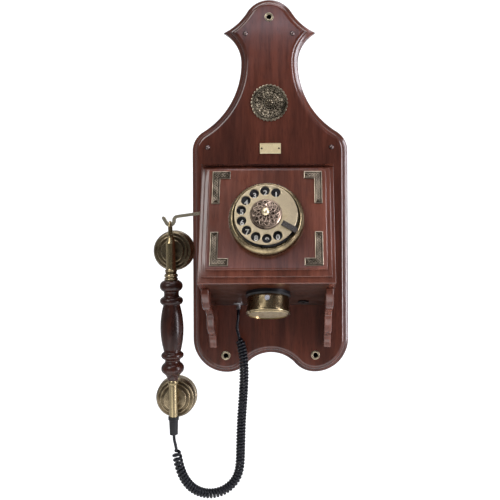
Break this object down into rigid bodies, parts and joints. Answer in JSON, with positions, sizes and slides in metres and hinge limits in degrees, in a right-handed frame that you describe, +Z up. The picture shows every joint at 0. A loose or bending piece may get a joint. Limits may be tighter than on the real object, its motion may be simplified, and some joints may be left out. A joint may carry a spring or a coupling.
{
  "type": "wall telephone",
  "caption": "Vintage wall telephone: shaped wooden board, sloped box with a rotary dial, ringer below, and a turned handset hanging from a hook on a curly lead.",
  "frame": {"origin": "axis of the top fixing eyelet, at the back face of the board", "axes": "+Z up, +X to the right as seen from the front, the front faces -Y and the back of the board is the plane Y = 0"},
  "size_m": [0.2527, 0.1516, 0.6531],
  "materials": {
    "mahogany": "dark red-brown stain under gloss lacquer",
    "box_mahogany": "dark red-brown stain under gloss lacquer",
    "handle_wood": "turned, dark stain under gloss lacquer",
    "antique_brass": "aged, burnished on the high places",
    "bright_brass": "polished",
    "dark_bronze": "darkened relief with brushed high places",
    "eyelet_brass": "dull plated",
    "nail_steel": "polished domes",
    "black_enamel": "semi-gloss black",
    "black_plastic": "moulded, glossy",
    "black_rubber": "satin",
    "cord_plastic": "glossy extruded jacket",
    "plain_steel": "plain",
    "spring_steel": "blued",
    "gear_brass": "machined",
    "circuit": "laminate"
  },
  "bodies": {
    "root": {"backboard": "mahogany", "front_panel": "box_mahogany", "left_side_panel": "box_mahogany", "right_side_panel": "box_mahogany", "top_panel": "box_mahogany", "bottom_panel": "box_mahogany", "left_bracket": "box_mahogany", "right_bracket": "box_mahogany", "wall_eyelets": "eyelet_brass", "board_nails": "nail_steel", "small_nails": "antique_brass", "rosette": "dark_bronze", "name_plate": "bright_brass", "upper_left_corner_plate": "dark_bronze", "upper_right_corner_plate": "dark_bronze", "lower_left_corner_plate": "dark_bronze", "lower_right_corner_plate": "dark_bronze", "dial_bezel": "antique_brass", "number_plate": "black_enamel", "finger_stop": "dark_bronze", "dial_frame": "plain_steel", "dial_return_spring": "spring_steel", "pulse_contacts": "black_plastic", "ringer_base": "black_plastic", "ringer_cup": "antique_brass", "ringer_grille": "antique_brass", "ringer_screw": "nail_steel", "ringer_sounder": "black_plastic", "hook_bracket": "plain_steel", "hook_pin": "plain_steel", "hook_spring": "spring_steel", "hook_switch": "black_plastic", "cord_clamp": "antique_brass", "cord_lead": "cord_plastic", "curly_cord": "cord_plastic", "handset_lead": "cord_plastic", "circuit_board": "circuit", "line_terminal": "black_plastic", "line_grommet": "black_rubber"},
    "dial": {"finger_wheel": "antique_brass", "dial_ornament": "dark_bronze", "dial_hub_cap": "bright_brass", "dial_shaft": "plain_steel", "dial_gear": "gear_brass"},
    "governor": {"governor": "gear_brass"},
    "hook": {"hook_lever": "antique_brass"},
    "handset": {"handset_eye": "antique_brass", "upper_tube": "antique_brass", "upper_collar": "antique_brass", "wooden_handle": "handle_wood", "lower_collar": "antique_brass", "lower_tube": "antique_brass", "cord_sleeve": "black_rubber", "ear_cup": "antique_brass", "ear_cap": "antique_brass", "mouth_cup": "antique_brass", "mouth_cap": "antique_brass", "receiver_capsule": "black_plastic", "microphone_capsule": "black_plastic"}
  },
  "joints": [
    {"name": "dial_turn", "type": "hinge", "parent": "root", "child": "dial", "pos_m": [0, -0.1155, -0.271], "axis": [0, 0.9396, -0.3423], "range_deg": [0, 318], "stiffness_Nm_per_rad": 0.004, "springref_deg": -57.3},
    {"name": "governor_spin", "type": "hinge", "parent": "root", "child": "governor", "pos_m": [-0.024, -0.1155, -0.271], "axis": [0, 0.9396, -0.3423], "range_deg": [-1272, 0]},
    {"name": "handset_lift", "type": "slide", "parent": "root", "child": "handset", "axis": [-0.5, 0, 0.866], "range_m": [0, 0.08]},
    {"name": "hook_rise", "type": "hinge", "parent": "root", "child": "hook", "pos_m": [-0.058, -0.078, -0.258], "axis": [0, 1, 0], "range_deg": [0, 8]}
  ],
  "couplings": [
    {"joint": "governor_spin", "follows": "dial_turn", "ratio": -4},
    {"joint": "hook_rise", "follows": "handset_lift", "rad_per_m": 1.74}
  ]
}
